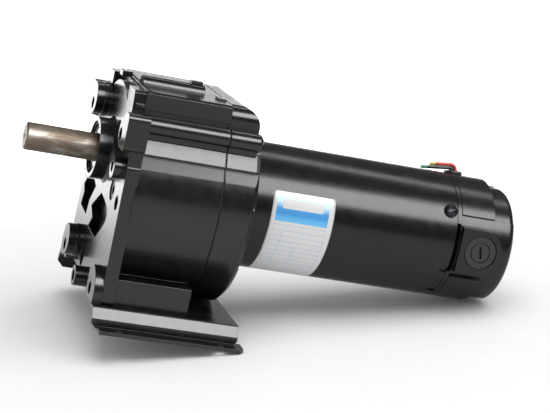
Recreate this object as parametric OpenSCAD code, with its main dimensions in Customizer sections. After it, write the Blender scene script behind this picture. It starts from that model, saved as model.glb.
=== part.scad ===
// Parallel-shaft gearmotor: a three-stage spur gearcase with a foot plate, driven by a
// brushed permanent-magnet motor. The origin is on the output shaft axis, at the front
// face of its bearing boss. The output shaft points along -X, the motor along +X, +Z is up.

/* [Output shaft] */
// Diameter of the output shaft
shaft_d = 19.05; // [18:0.05:19.5]
// Length of the output shaft in front of the bearing boss
shaft_out = 47.3; // [30:0.1:70]

/* [Gearcase] */
// Radius of the round gearcase body
drum_r = 71.5; // [71:0.1:73]
// Distance of the motor axis below the output axis
axis_drop = 21.5; // [21.4:0.1:21.6]
// Depth of the front flange face behind the bearing boss face
flange_x = 11; // [10:0.1:12]
// Thickness of the front flange
flange_t = 9; // [8:0.1:10]
// Depth of the joint between housing and rear cover
split_x = 77.2; // [77:0.1:78]
// Depth of the rear face of the cover
cover_x = 102.3; // [102:0.1:103]
// Wall thickness of the castings
wall = 4.5; // [4:0.1:5]
// Distance of the mounting holes from the centre plane
ear_y = 56; // [55:0.5:57]
// Height of the upper mounting holes
ear_top_z = 21; // [20:0.5:22]
// Height of the lower mounting holes
ear_low_z = -84; // [-84.5:0.5:-83.5]
// Diameter of the mounting holes
ear_hole_d = 8.6; // [8:0.1:9]

/* [Foot plate] */
// Half width of the plate between its bent sides
foot_half_w = 79; // [78:0.5:82]
// Height of the bent sides
foot_h = 14.5; // [13:0.5:16]
// Width of each foot flange
foot_flange_w = 14; // [12:0.5:16]
// Thickness of the sheet
foot_t = 2.5; // [2:0.1:3]

/* [Motor] */
// Outer radius of the motor tube
tube_r = 44.85; // [44.5:0.05:45.2]
// Wall thickness of the motor tube
tube_t = 5; // [4.8:0.1:5.2]
// Depth of the joint between tube and end bell
seam_x = 257.7; // [257:0.1:259]
// Depth of the rear face of the end bell
bell_x = 305.5; // [305:0.1:307]
// Depth of the brush axis
brush_x = 277.6; // [277.4:0.1:277.8]

/* [Hidden] */

$fn = 64;
eps = 0.02;           // gap between parts that seat on each other
case_bottom = -90;    // underside of the round body
head_half_w = 50.5;   // half width of the raised upper body
head_top = 51;        // top of the raised upper body
panel_z = 38.6;       // lower edge of the raised side panels
panel_step = 1.2;     // how far the side panels stand out
shoulder_z = 22.6;    // top of the round shoulders
flange_half_w = 70.5; // half width of the flange
flange_top = 50;      // top edge of the flange
case_x = flange_x + flange_t;
joint_gap = 1;           // gap between housing and cover, filled by the gasket
foot_block_x = 71.5;  // rear end of the cast foot
foot_block_y = 66.5;  // half width of the cast foot
foot_top_z = -73.5;   // top of the cast foot
foot_z = -91;         // top face of the foot plate

motor_z = -axis_drop;

// Gear data: teeth and module of each stage, and the shaft places that follow from them
pressure_angle = 25;
backlash = 0.16;
z_out = 40;
z_out_pinion = 14;
m_out = 1.75;
z_second = 49;
z_second_pinion = 14;
m_second = 1.25;
z_first = 60;
z_motor = 12;
m_first = 0.9;
d_out = m_out * (z_out + z_out_pinion) / 2;
d_second = m_second * (z_second + z_second_pinion) / 2;
d_first = m_first * (z_first + z_motor) / 2;
second_angle = -115;
second_at = [d_out * cos(second_angle), d_out * sin(second_angle)];
motor_at = [0, motor_z];
second_from_motor = second_at - motor_at;
spread = acos((d_first ^ 2 + norm(second_from_motor) ^ 2 - d_second ^ 2)
    / (2 * d_first * norm(second_from_motor)));
first_angle = atan2(second_from_motor[1], second_from_motor[0]) + spread;
first_at = motor_at + d_first * [cos(first_angle), sin(first_angle)];

// Front face and width of each gear
out_gear_x = 34;
out_gear_w = 20;
second_gear_x = 60;
second_gear_w = 11;
first_gear_x = 83;
first_gear_w = 9;
idler_r = 6;                           // journal radius of both idler shafts
bush_r = 9;                            // outer radius of the idler bushes
back_wall_x = cover_x - 6;             // inner face of the cover rear wall
screw_seat_x = cover_x - 4;            // under the heads of the housing screws
rear_bush_r = 11;                      // outer radius of the output rear bush
spigot_r = tube_r - tube_t - 0.05;     // spigots that centre the motor tube

// Output front bearing and motor bearings: bore, pitch and outer radius, ball radius, width
ob = [10, 14.25, 18.5, 2.45, 9];
mb = [7.5, 12.5, 17.5, 2.9, 11];
ob_x = 2.4;
mb_front_x = 104;
mb_rear_x = 288;

magnet_r = tube_r - tube_t;
magnet_t = 7.6;
core_r = 30.8;
core_x = 150;
core_len = 72;
comm_r = 17;
comm_x = 266;
comm_len = 19;
brush_w = 7;
brush_h = 9.5;
brush_len = 19;
brush_top = 47.4;     // distance of the brush cap plane from the motor axis
brush_slot = 0.06;    // clearance of the brush in its holder

black = [0.06, 0.06, 0.065];
steel = [0.62, 0.60, 0.56];

// ---- general helpers ----

// A 2-D outline drawn in (Y, Z) and extruded along X
module along_x(x0, x1) {
    translate([x0, 0, 0]) rotate([90, 0, 90]) linear_extrude(x1 - x0) children();
}

// A cylinder along X at (y, z)
module rod_x(x0, x1, r, at = [0, 0]) {
    translate([x0, at[0], at[1]]) rotate([0, 90, 0]) cylinder(r = r, h = x1 - x0);
}

// A cone along X at (y, z)
module cone_x(x0, x1, r0, r1, at = [0, 0]) {
    translate([x0, at[0], at[1]]) rotate([0, 90, 0]) cylinder(r1 = r0, r2 = r1, h = x1 - x0);
}

// A tube along X
module ring_x(x0, x1, r_out, r_in, at = [0, 0]) {
    difference() {
        rod_x(x0, x1, r_out, at);
        rod_x(x0 - 1, x1 + 1, r_in, at);
    }
}

// A body turned about an X axis from a profile in (radius, X)
module turned_x(at = [0, 0]) {
    translate([0, at[0], at[1]]) rotate([0, 90, 0]) rotate_extrude() children();
}

// A rod whose rear edge is rounded
module turned_end(r, x0, x1, fillet, at) {
    rod_x(x0, x1 - fillet, r, at);
    rod_x(x1 - fillet - 1, x1, r - fillet, at);
    turned_x(at) intersection() {
        translate([r - fillet, x1 - fillet]) circle(r = fillet);
        square([r, x1]);
    }
}

// A block given by its low and high corners
module block(low, high) {
    translate(low) cube(high - low);
}

// A sector of a ring in (Y, Z) about the motor axis, from angle a0 to a1 measured from -Y upwards
module ring_sector(x0, x1, r_out, r_in, a0, a1) {
    steps = 4;
    reach = 2 * r_out;
    fan = [for (i = [0 : steps])
        let (a = 180 - a0 - (a1 - a0) * i / steps) reach * [cos(a), sin(a)]];
    intersection() {
        ring_x(x0, x1, r_out, r_in, motor_at);
        translate([0, 0, motor_z]) along_x(x0 - 1, x1 + 1) polygon(concat([[0, 0]], fan));
    }
}

// A rounded rectangle in the plane, exact arcs
module soft_rect(low, high, r) {
    translate(low + [r, 0]) square(high - low - [2 * r, 0]);
    translate(low + [0, r]) square(high - low - [0, 2 * r]);
    for (y = [low[0] + r, high[0] - r], z = [low[1] + r, high[1] - r])
        translate([y, z]) circle(r = r);
}

// ---- gears ----

function involute_angle(a) = tan(a) * 180 / PI - a;

// Half the angle that a tooth covers at radius r
function half_tooth(r, teeth, module_size) =
    let (pitch_r = teeth * module_size / 2, base_r = pitch_r * cos(pressure_angle))
    90 / teeth - backlash / 2 / pitch_r * 180 / PI / 2 + involute_angle(pressure_angle)
    - involute_angle(acos(min(1, base_r / max(r, base_r))));

function tooth_points(teeth, module_size, flank_steps) =
    let (pitch_r = teeth * module_size / 2,
        root = pitch_r - 1.25 * module_size,
        tip = pitch_r + module_size,
        start = max(root + 0.05, pitch_r * cos(pressure_angle)),
        radii = concat([root], [for (i = [0 : flank_steps]) start + (tip - start) * i / flank_steps]))
    concat([for (r = radii) [r, -half_tooth(r, teeth, module_size)]],
        [for (i = [len(radii) - 1 : -1 : 0]) [radii[i], half_tooth(radii[i], teeth, module_size)]]);

// Outline of a spur gear with one tooth centred on the given angle
module gear_outline(teeth, module_size, phase, flank_steps = 3) {
    tooth = tooth_points(teeth, module_size, flank_steps);
    polygon([for (t = [0 : teeth - 1], p = tooth)
        let (a = phase + t * 360 / teeth + p[1]) p[0] * [cos(a), sin(a)]]);
}

// Gear phases: the driving tooth points along the centre line, the driven gear has a gap there
function driven_phase(line_angle, teeth) = line_angle + 180 + 180 / teeth;
line_out = second_angle;
line_second = atan2(second_at[1] - first_at[1], second_at[0] - first_at[0]);

module gear_x(x0, x1, teeth, module_size, phase, at) {
    translate([0, at[0], at[1]]) along_x(x0, x1) gear_outline(teeth, module_size, phase);
}

// ---- bearings ----

module race_groove(b, x_mid, at) {
    translate([x_mid, at[0], at[1]]) rotate([0, 90, 0])
        rotate_extrude() translate([b[1], 0]) circle(r = b[3] + 0.05);
}

module outer_race(b, x0, at) {
    difference() {
        ring_x(x0, x0 + b[4], b[2] - eps, b[1] + b[3] * 0.45, at);
        race_groove(b, x0 + b[4] / 2, at);
    }
}

module inner_race(b, x0, at) {
    difference() {
        ring_x(x0, x0 + b[4], b[1] - b[3] * 0.45, b[0] + eps, at);
        race_groove(b, x0 + b[4] / 2, at);
    }
}

// Balls in a pressed cage ring
module ball_set(b, x0, at, balls) {
    mid = x0 + b[4] / 2;
    ring_x(mid - b[3] * 0.35, mid + b[3] * 0.35, b[1] + b[3] * 0.3, b[1] - b[3] * 0.3, at);
    for (i = [0 : balls - 1])
        translate([mid, at[0], at[1]]) rotate([i * 360 / balls, 0, 0])
            translate([0, b[1], 0]) sphere(r = b[3]);
}

// ---- gearcase ----

rib_r = 6.5;                // side ribs that carry the upper housing screws
rib_at = [54.5, 29.5];
top_rib_r = 6.4;
top_rib_at = [-7.5, 49.3];
head_edge = 1.5;            // chamfer along the top edges of the head
dome_x = 99;                // rear end of the domed cover top
dome_r = 12.5;              // quarter round at the rear of the dome
dome_edge = 9;              // rounded long edges of the dome
cover_bevel = 3;            // bevel round the rear edge of the cover
cavity_gap = 2;             // extra wall of the round body

// Housing screws: their places as (Y, Z)
screw_at = [[-rib_at[0], rib_at[1]], rib_at, [-58, -52], [58, -52], [-66.2, -14], [66.2, -14]];
screw_r = 2;
screw_post_r = 5;

// Round lower part of the case
module drum_outline() {
    intersection() {
        translate([0, motor_z]) circle(r = drum_r);
        translate([-drum_r, case_bottom]) square([2 * drum_r, shoulder_z - case_bottom]);
    }
}

// One half of the raised upper part: its side panel stands out above panel_z
module half_head_outline() {
    polygon([[0, 0], [head_half_w - panel_step, 0], [head_half_w - panel_step, panel_z],
        [head_half_w, panel_z], [head_half_w, head_top - head_edge],
        [head_half_w - head_edge, head_top], [0, head_top]]);
}

module head_outline() {
    half_head_outline();
    mirror([1, 0]) half_head_outline();
}

// Side ribs, with a web down to the shoulders
module rib_outline() {
    web_w = 10;
    for (s = [-1, 1]) translate([s * rib_at[0], rib_at[1]]) {
        circle(r = rib_r);
        translate([-web_w / 2 - s, -rib_r - 2]) square([web_w, rib_r + 2]);
    }
}

module case_outline() {
    drum_outline();
    head_outline();
    rib_outline();
}

// The long groove below each shoulder, with a floor that slopes outwards
module side_grooves(x0, x1) {
    groove_top = 11.5;
    groove_deep_y = 61.8;
    groove_deep_z = 9.8;
    groove_low = [67.2, 2.6];
    reach = drum_r + 3;
    for (s = [-1, 1]) along_x(x0, x1)
        polygon([[s * reach, groove_top], [s * groove_deep_y, groove_top],
            [s * groove_deep_y, groove_deep_z], [s * groove_low[0], groove_low[1]],
            [s * reach, groove_low[1]]]);
}

// Inside of the case, kept one wall away from the outside
module drum_cavity_outline() {
    intersection() {
        translate([0, motor_z]) circle(r = drum_r - wall - cavity_gap);
        translate([-drum_r, case_bottom + wall]) square([2 * drum_r, shoulder_z - case_bottom]);
    }
}

module head_cavity_outline() {
    depth = 10;
    translate([-head_half_w + wall, -depth])
        square([2 * (head_half_w - wall), head_top - wall + depth]);
}

// Posts left standing in the cavity round the housing screws
module screw_posts(x0, x1) {
    for (at = screw_at) rod_x(x0, x1, screw_post_r, at);
}

module case_cavity(x0, drum_x1, head_x1) {
    difference() {
        union() {
            along_x(x0, drum_x1) drum_cavity_outline();
            along_x(x0, head_x1) head_cavity_outline();
        }
        screw_posts(x0 - 1, drum_x1 + 1);
    }
}

// Mounting ears at the upper corners of the flange
ear_x = 5.2;                // front face of all four ears
ear_side_y = 73.5;          // outer side of the upper ears
ear_bottom_z = 12.5;
ear_peak_z = 37.5;
ear_lobe_at = [60, 23];
ear_lobe_r = 10.5;
ear_corner_r = 4;
low_ear_r = 16;

module upper_ear_outline() {
    translate(ear_lobe_at) circle(r = ear_lobe_r);
    soft_rect([ear_lobe_at[0] + 1, ear_bottom_z], [ear_side_y, ear_peak_z], ear_corner_r);
    polygon([[64.5, ear_peak_z], [69, 30], ear_lobe_at, [53, 31]]);
}

module lower_ear_outline() {
    inner_y = 45.5;
    intersection() {
        translate([ear_y, ear_low_z]) circle(r = low_ear_r);
        translate([inner_y, foot_z]) square([flange_half_w + 3.5 - inner_y, 2 * low_ear_r]);
    }
}

// Upper half of the flange, its sides leaning in towards the top
module flange_head_outline() {
    lean = 2.2;
    lean_from = 26;
    top_y = head_half_w - lean;
    polygon([[0, -20], [head_half_w, -20], [head_half_w, lean_from], [top_y, flange_top - head_edge],
        [top_y - head_edge, flange_top], [0, flange_top]]);
}

module flange_outline() {
    soft_rect([-flange_half_w, foot_z], [flange_half_w, 4], 3);
    translate([0, motor_z]) circle(r = drum_r - 1);
    for (side = [0, 1]) mirror([side, 0]) {
        flange_head_outline();
        upper_ear_outline();
        translate([flange_half_w - 8.5, 2]) square([8, 12]);
    }
}

boss_r = 21.2;              // output bearing boss
boss_foot_x = flange_x - 2; // where the boss widens into the flange
web_r = 48.5;               // round web of the flange about the output axis
mount_boss_at = [[33.5, 29.2], [34.5, -74]];
mount_boss_r = 11.3;
mount_boss_x = 0.5;
mount_step_x = 6.2;
mount_hole_r = 4.2;
mount_hole_drop = 4;
small_boss_at = [[-56, -1], [-14.5, -87.5]];
small_boss_r = [7.7, 7];
small_boss_x = [4, 1.1];
small_hole_r = [3.6, 4];
plug_at = [-38, -20];
plug_r = 7.3;
side_hole_at = [-58.3, -24.5];
side_hole_r = 5;
low_hole_at = [17.5, -82.8];
low_hole_r = 5.2;
blind_x = flange_x + 5;     // depth of the blind holes in the flange face
ear_thread_x = flange_x + 8;
flange_pad = [[4, 49], [13, 54.8]];
flange_pad_l = 7;

// Outlines of the two blind windows cast into the flange face
near_window = [[-5.9, -29.5], [-22.6, -31.4], [-33, -34], [-37, -38], [-36, -43], [-28.2, -49.5],
    [-11.2, -60.3], [18.1, -59], [9.3, -50.6], [20.1, -44.4]];
far_window = [[54.3, -32.4], [28, -27.5], [17, -30], [30.5, -43.3], [33.4, -54.5], [59, -52.7],
    [55, -42.8], [60.5, -38]];

module face_windows() {
    for (outline = [near_window, far_window]) along_x(flange_x - 1, blind_x + 1) polygon(outline);
}

// Recess in the flange above the round bearing web
module web_recess() {
    difference() {
        block([flange_x - 1, -28, 30], [flange_x + 6, 32, flange_top + 1]);
        rod_x(flange_x - 2, flange_x + 8, web_r);
    }
}

// Bosses in front of the flange face
module flange_bosses() {
    rod_x(0, flange_x + 1, boss_r);
    cone_x(boss_foot_x, flange_x + 0.5, boss_r, boss_r + 2.5);
    for (at = mount_boss_at) {
        rod_x(mount_boss_x, flange_x + 1, mount_boss_r, at);
        rod_x(mount_step_x, flange_x + 1, mount_boss_r + 0.5, at);
    }
    for (i = [0, 1]) rod_x(small_boss_x[i], flange_x + 1, small_boss_r[i], small_boss_at[i]);
    for (side = [0, 1]) mirror([0, side, 0]) along_x(ear_x, flange_x + 1) {
        upper_ear_outline();
        lower_ear_outline();
    }
}

// Rib along the top with its two raised pads, and the pads on the flange and at the joint
module top_details() {
    rib_start = case_x + 2.5;
    rib_end = split_x - 11;
    pad_half_w = 3.5;
    pad_l = 8;
    pad_top = 58.2;
    rod_x(rib_start, rib_end, top_rib_r, top_rib_at);
    block([rib_end - pad_l - 2, top_rib_at[0] - pad_half_w, top_rib_at[1]],
        [rib_end - 2, top_rib_at[0] + pad_half_w, pad_top]);
    block([flange_x, flange_pad[0][0], flange_pad[0][1]],
        [flange_x + flange_pad_l, flange_pad[1][0], flange_pad[1][1]]);
    block([split_x - 6, -32, head_top - 1], [split_x, -23, head_top + 1.2]);
}

// Outside of the housing with its cavity, side grooves and flange recess
module housing_body() {
    bead_low = 39;
    bead_high = 41.5;
    bead_y = head_half_w - 0.7;
    difference() {
        union() {
            along_x(case_x - 1, split_x) case_outline();
            along_x(flange_x, case_x) flange_outline();
            block([case_x - 1, -foot_block_y, foot_z], [foot_block_x, foot_block_y, foot_top_z]);
            block([flange_x + 2, -bead_y, bead_low], [case_x, bead_y, bead_high]);
            flange_bosses();
            top_details();
        }
        case_cavity(case_x, split_x + 1, split_x + 1);
        side_grooves(case_x, split_x + 1);
        web_recess();
        // groove between the flange and the top of the head
        block([case_x, -head_half_w - 1, head_top - 1.4],
            [case_x + 2.5, head_half_w + 1, head_top + 9]);
    }
}

// Seats of the output bearing and its retaining ring, open to the inside
module output_seat() {
    rod_x(-1, 0.9, ob[2] - 0.4);
    rod_x(0.9, 2.3, ob[2] + 0.9);
    rod_x(0.5, ob_x + ob[4], ob[2]);
    rod_x(-1, case_x + 5, seat_r + 2);
}

module gear_housing() {
    pocket_x = case_x + 9;
    foot_thread = 13;
    color(black) difference() {
        union() {
            housing_body();
            for (at = [first_at, second_at]) rod_x(case_x - 1, pocket_x, bush_r + 4, at);
            rod_x(case_x - 1, case_x + 2, boss_r + 2);
        }
        output_seat();
        for (at = [first_at, second_at]) rod_x(case_x + 1, pocket_x + 3, bush_r, at);
        for (s = [-1, 1], z = [ear_top_z, ear_low_z])
            rod_x(0, ear_thread_x, ear_hole_d / 2, [s * ear_y, z]);
        for (at = mount_boss_at) rod_x(-1, flange_x + 7, mount_hole_r, at - [0, mount_hole_drop]);
        for (i = [0, 1]) rod_x(0, flange_x + 6, small_hole_r[i], small_boss_at[i]);
        rod_x(flange_x - 1, flange_x + 4, plug_r, plug_at);
        rod_x(flange_x - 1, blind_x, side_hole_r, side_hole_at);
        rod_x(flange_x - 1, blind_x, low_hole_r, low_hole_at);
        face_windows();
        for (at = screw_at) rod_x(split_x - 16, split_x + 1, screw_r, at);
        for (x = foot_screw_x, s = [-1, 1])
            translate([x, s * foot_screw_y, foot_z - 1]) cylinder(r = 3, h = foot_thread);
    }
}

// Round part of the cover, bevelled round its rear edge
module cover_drum(x0) {
    intersection() {
        along_x(x0, cover_x) drum_outline();
        union() {
            rod_x(x0 - 1, cover_x - cover_bevel, drum_r + 1, motor_at);
            cone_x(cover_x - cover_bevel - 1, cover_x, drum_r + 1, drum_r - cover_bevel, motor_at);
        }
    }
}

// Domed top of the cover: rounded long edges and a quarter round at the rear
module cover_dome(x0) {
    half_w = head_half_w - 0.8;
    round_x = dome_x - dome_r;
    round_z = head_top - dome_r;
    low_z = -30;
    intersection() {
        along_x(x0, dome_x) soft_rect([-half_w, low_z], [half_w, head_top], dome_edge);
        union() {
            block([x0 - 1, -half_w - 1, low_z - 1], [round_x, half_w + 1, head_top + 1]);
            block([x0 - 1, -half_w - 1, low_z - 1], [dome_x, half_w + 1, round_z]);
            translate([round_x, half_w + 1, round_z]) rotate([90, 0, 0])
                cylinder(r = dome_r, h = 2 * half_w + 2);
        }
    }
}

// Ribs of the cover with rounded rear ends
module cover_ribs(x0) {
    rib_end = 101.3;
    end_r = 3.5;
    along_x(x0, rib_end - end_r) rib_outline();
    for (s = [-1, 1])
        turned_end(rib_r, rib_end - end_r - 1, rib_end, end_r, [s * rib_at[0], rib_at[1]]);
}

// Rear cover: carries the idler bushes, the output rear bush and the motor's front bearing
module rear_cover() {
    x0 = split_x + joint_gap;
    head_r = 4;
    bush_boss_x = second_gear_x + second_gear_w + 9;
    color(black) difference() {
        union() {
            difference() {
                union() {
                    cover_drum(x0);
                    cover_dome(x0);
                    cover_ribs(x0);
                }
                side_grooves(x0 - 1, cover_x - 1);
                case_cavity(x0 - 1, back_wall_x, dome_x - 6);
            }
            rod_x(back_wall_x - 11, dome_x, 14);
            rod_x(back_wall_x - 4, back_wall_x + 1, bush_r + 3.5, first_at);
            rod_x(bush_boss_x, back_wall_x + 1, bush_r + 2, second_at);
            rod_x(cover_x - 1, cover_x + 8, spigot_r, motor_at);
        }
        rod_x(back_wall_x - 12, back_wall_x + 1, rear_bush_r);
        rod_x(back_wall_x - 5, back_wall_x + 3, bush_r, first_at);
        rod_x(second_gear_x, back_wall_x - 4, bush_r, second_at);
        rod_x(mb_front_x, cover_x + 9, mb[2], motor_at);
        rod_x(x0, mb_front_x + 1, 10.5, motor_at);
        for (at = screw_at) {
            rod_x(x0 - 1, cover_x + 1, screw_r + 0.3, at);
            rod_x(screw_seat_x, cover_x + 1, head_r, at);
        }
        for (s = [-1, 1]) rod_x(cover_x - 6, cover_x + 9, bolt_thread_r, bolt_at(s));
    }
}

// Gasket set back from the outside, so that the joint shows as a dark line
module housing_gasket() {
    setback = 1;
    color([0.02, 0.02, 0.02]) intersection() {
        difference() {
            along_x(split_x + eps, split_x + joint_gap - eps) case_outline();
            case_cavity(split_x, split_x + joint_gap, split_x + joint_gap);
            for (at = screw_at) rod_x(split_x, split_x + joint_gap, screw_r + 0.4, at);
            side_grooves(split_x, split_x + joint_gap);
        }
        union() {
            rod_x(split_x, split_x + joint_gap, drum_r - setback, motor_at);
            block([split_x, -head_half_w + setback, 0],
                [split_x + joint_gap, head_half_w - setback, head_top - setback]);
            for (s = [-1, 1])
                rod_x(split_x, split_x + joint_gap, rib_r - setback, [s * rib_at[0], rib_at[1]]);
        }
    }
}

module housing_screws() {
    head_h = 3.3;
    color(steel) for (at = screw_at) {
        rod_x(split_x - 14, screw_seat_x + 1, screw_r - 0.1, at);
        difference() {
            rod_x(screw_seat_x + 0.1, screw_seat_x + head_h, 3.7, at);
            translate([0, at[0], at[1]]) along_x(screw_seat_x + 1.6, cover_x) circle(r = 1.9, $fn = 6);
        }
    }
}

// Threaded plug with a hexagon socket in the flange face
module shaft_end_plugs() {
    color([0.35, 0.34, 0.33]) difference() {
        rod_x(flange_x + 0.9, flange_x + 3.9, plug_r - 0.1, plug_at);
        translate([0, plug_at[0], plug_at[1]])
            along_x(flange_x, flange_x + 2.6) circle(r = 3.4, $fn = 6);
    }
}

// ---- output train ----

seat_r = 12;   // radius of the shaft under the output gear
tail_r = 7.5;  // radius of the rear journal

module output_shaft() {
    end_chamfer = 1;
    color(steel) difference() {
        union() {
            cone_x(-shaft_out, end_chamfer - shaft_out, shaft_d / 2 - end_chamfer, shaft_d / 2);
            rod_x(end_chamfer - shaft_out, 0.5, shaft_d / 2);
            rod_x(0.5, ob_x + ob[4], ob[0] - eps);
            rod_x(ob_x + ob[4], out_gear_x - 2, seat_r);
            rod_x(out_gear_x - 2, out_gear_x - eps, seat_r + 3);
            rod_x(out_gear_x - eps, out_gear_x + out_gear_w + 6, seat_r);
            rod_x(out_gear_x + out_gear_w, back_wall_x - 0.5, tail_r);
        }
        rod_x(-shaft_out - 1, 5 - shaft_out, 1.6);
        block([out_gear_x + 2, -3, seat_r - 3.5], [out_gear_x + out_gear_w + 7, 3, seat_r + 1]);
    }
}

module output_gear() {
    color([0.45, 0.45, 0.47]) difference() {
        union() {
            gear_x(out_gear_x, out_gear_x + out_gear_w, z_out, m_out,
                driven_phase(line_out + 180, z_out), [0, 0]);
        }
        rod_x(out_gear_x - 1, out_gear_x + out_gear_w + 1, seat_r + eps);
        block([out_gear_x - 1, -3, 0], [out_gear_x + out_gear_w + 1, 3, seat_r + 2.4]);
        for (i = [0 : 4]) {
            a = 18 + 72 * i;
            rod_x(out_gear_x - 1, out_gear_x + out_gear_w + 1, 5, 23 * [cos(a), sin(a)]);
        }
    }
}

module output_gear_key() {
    color(steel) block([out_gear_x + 2 + eps, -3 + eps, seat_r - 3.5 + eps],
        [out_gear_x + out_gear_w + 5, 3 - eps, seat_r + 2.3]);
}

module front_bearing_outer() { color([0.6, 0.6, 0.62]) outer_race(ob, ob_x, [0, 0]); }
module front_bearing_inner() { color([0.65, 0.65, 0.67]) inner_race(ob, ob_x, [0, 0]); }
module front_bearing_balls() { color([0.75, 0.75, 0.77]) ball_set(ob, ob_x, [0, 0], 11); }

module retaining_ring() {
    color([0.2, 0.2, 0.2]) difference() {
        ring_x(1.0, 2.2, ob[2] + 0.8, ob[2] - 2);
        block([0, -3, -ob[2] - 3], [3, 3, -ob[2] + 4]);
    }
}

module output_rear_bush() {
    color([0.70, 0.52, 0.28]) ring_x(back_wall_x - 11, back_wall_x, rear_bush_r - eps, tail_r + 0.04);
}

// Idler shaft with an integral pinion
module idler_shaft(at, x0, x1, pinion_x0, pinion_x1, teeth, module_size, phase,
        gear_seat_x0, gear_seat_x1) {
    color(steel) {
        rod_x(x0, x1, idler_r, at);
        gear_x(pinion_x0, pinion_x1, teeth, module_size, phase, at);
        rod_x(gear_seat_x0, gear_seat_x1, idler_r + 1, at);
    }
}

module second_shaft() {
    idler_shaft(second_at, case_x + 1.5, back_wall_x - 5, out_gear_x - 1, out_gear_x + out_gear_w + 1,
        z_out_pinion, m_out, line_out + 180, second_gear_x - 3, second_gear_x + second_gear_w);
}

module second_gear() {
    color([0.45, 0.45, 0.47]) difference() {
        gear_x(second_gear_x, second_gear_x + second_gear_w, z_second, m_second,
            driven_phase(line_second, z_second), second_at);
        rod_x(second_gear_x - 1, second_gear_x + second_gear_w + 1, idler_r + 1 + eps, second_at);
        for (i = [0 : 4]) rod_x(second_gear_x - 1, second_gear_x + second_gear_w + 1, 5,
            second_at + 19 * [cos(72 * i), sin(72 * i)]);
    }
}

module first_shaft() {
    idler_shaft(first_at, case_x + 1.5, back_wall_x + 1.5,
        second_gear_x - 1, second_gear_x + second_gear_w + 1,
        z_second_pinion, m_second, line_second, first_gear_x, first_gear_x + first_gear_w);
}

module first_gear() {
    color([0.55, 0.42, 0.25]) difference() {
        gear_x(first_gear_x, first_gear_x + first_gear_w, z_first, m_first,
            driven_phase(first_angle, z_first), first_at);
        rod_x(first_gear_x - 1, first_gear_x + first_gear_w + 1, idler_r + 1 + eps, first_at);
        for (i = [0 : 4]) rod_x(first_gear_x - 1, first_gear_x + first_gear_w + 1, 5,
            first_at + 16.5 * [cos(72 * i), sin(72 * i)]);
    }
}

module idler_bushes() {
    color([0.70, 0.52, 0.28]) {
        for (at = [first_at, second_at])
            ring_x(case_x + 1.2, case_x + 9, bush_r - eps, idler_r + 0.04, at);
        ring_x(back_wall_x - 4, back_wall_x + 2.8, bush_r - eps, idler_r + 0.04, first_at);
        ring_x(second_gear_x + second_gear_w + 9, back_wall_x - 4.2,
            bush_r - eps, idler_r + 0.04, second_at);
    }
}

// ---- foot plate ----

foot_x0 = 6;
foot_x1 = 106;
foot_screw_x = [30, 62];
foot_screw_y = 40;
foot_slot_y = foot_half_w + foot_flange_w / 2;
foot_hole_x = [24, 94];
foot_hole_r = 3.4;
foot_flange_z = foot_z - foot_h;
foot_lean = 3.8;            // how far the upper part of each side leans outwards
foot_lean_h = 7.2;          // height of the leaning part
foot_screw_z = foot_z - foot_t;

// Section of one bent side: leaning upper part, upright lower part
module foot_side_outline() {
    y = foot_half_w;
    t = foot_t;
    polygon([[y - foot_lean - 6, foot_z], [y - foot_lean - 0.8, foot_z], [y - foot_lean, foot_z - 0.8],
        [y, foot_z - foot_lean_h], [y, foot_flange_z], [y - t, foot_flange_z],
        [y - t, foot_z - foot_lean_h], [y - foot_lean - t, foot_z - t], [y - foot_lean - 6, foot_z - t]]);
}

module foot_side() {
    trim = 6;
    difference() {
        along_x(foot_x0, foot_x1) foot_side_outline();
        for (x = [foot_x0, foot_x1]) translate([x, foot_half_w, foot_flange_z])
            rotate([0, 45, 0]) cube([trim, 20, trim], center = true);
    }
    along_x(foot_x0 + 4, foot_x1 + 3) translate([foot_half_w - foot_t, foot_flange_z])
        square([foot_flange_w, foot_t]);
}

module foot_plate() {
    corner = 4;
    notch_y = 64;           // half width of the cut that clears the flange
    edge_y = foot_half_w - foot_lean - 3;
    color([0.07, 0.07, 0.075]) difference() {
        union() {
            block([foot_x0, -edge_y, foot_z - foot_t], [foot_x1, edge_y, foot_z]);
            for (side = [0, 1]) mirror([0, side, 0]) foot_side();
        }
        block([foot_x0 - 1, -notch_y, foot_z - foot_t - 1], [case_x + 4, notch_y, foot_z + 1]);
        for (x = foot_screw_x, s = [-1, 1])
            translate([x, s * foot_screw_y, foot_z - 10]) cylinder(r = foot_hole_r, h = 20);
        for (x = foot_hole_x, s = [-1, 1])
            translate([x, s * foot_slot_y, foot_flange_z - 1]) cylinder(r = foot_hole_r, h = 5);
        for (s = [-1, 1])
            translate([foot_x1 + 3, s * (foot_half_w + foot_flange_w - foot_t), foot_flange_z])
                rotate([0, 0, 45]) cube([corner, corner, 10], center = true);
    }
}

module foot_screws() {
    shank_r = 2.9;
    head_r = 5.2;
    head_h = 4;
    color([0.25, 0.25, 0.26]) for (x = foot_screw_x, s = [-1, 1])
        translate([x, s * foot_screw_y, foot_screw_z]) {
            translate([0, 0, -1]) cylinder(r = shank_r, h = 13);
            difference() {
                translate([0, 0, -head_h]) cylinder(r = head_r, h = head_h - eps);
                translate([0, 0, -head_h - 1]) cylinder(r = shank_r, h = 3, $fn = 6);
            }
        }
}

// ---- motor ----

tube_screw_angle = 33.4;    // tube screws: angle above the side
tube_screw_x = 252.3;
bolt_side = 9;              // through bolts: offset from the motor axis
bolt_rise = 35.4;
bolt_r = 1.8;
bolt_thread_r = bolt_r + 0.1;
notch_angles = [-22.3, -53];
notch = [5, 4.6, 1.6];      // length, width and depth of the notches in the tube

function bolt_at(s) = motor_at + s * [bolt_side, bolt_rise];

// Places its children on a radius of the motor, a degrees above the side s
module on_radius(x, a, s = 1) {
    translate([x, 0, motor_z]) rotate([s * (90 - a), 0, 0]) children();
}

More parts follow.
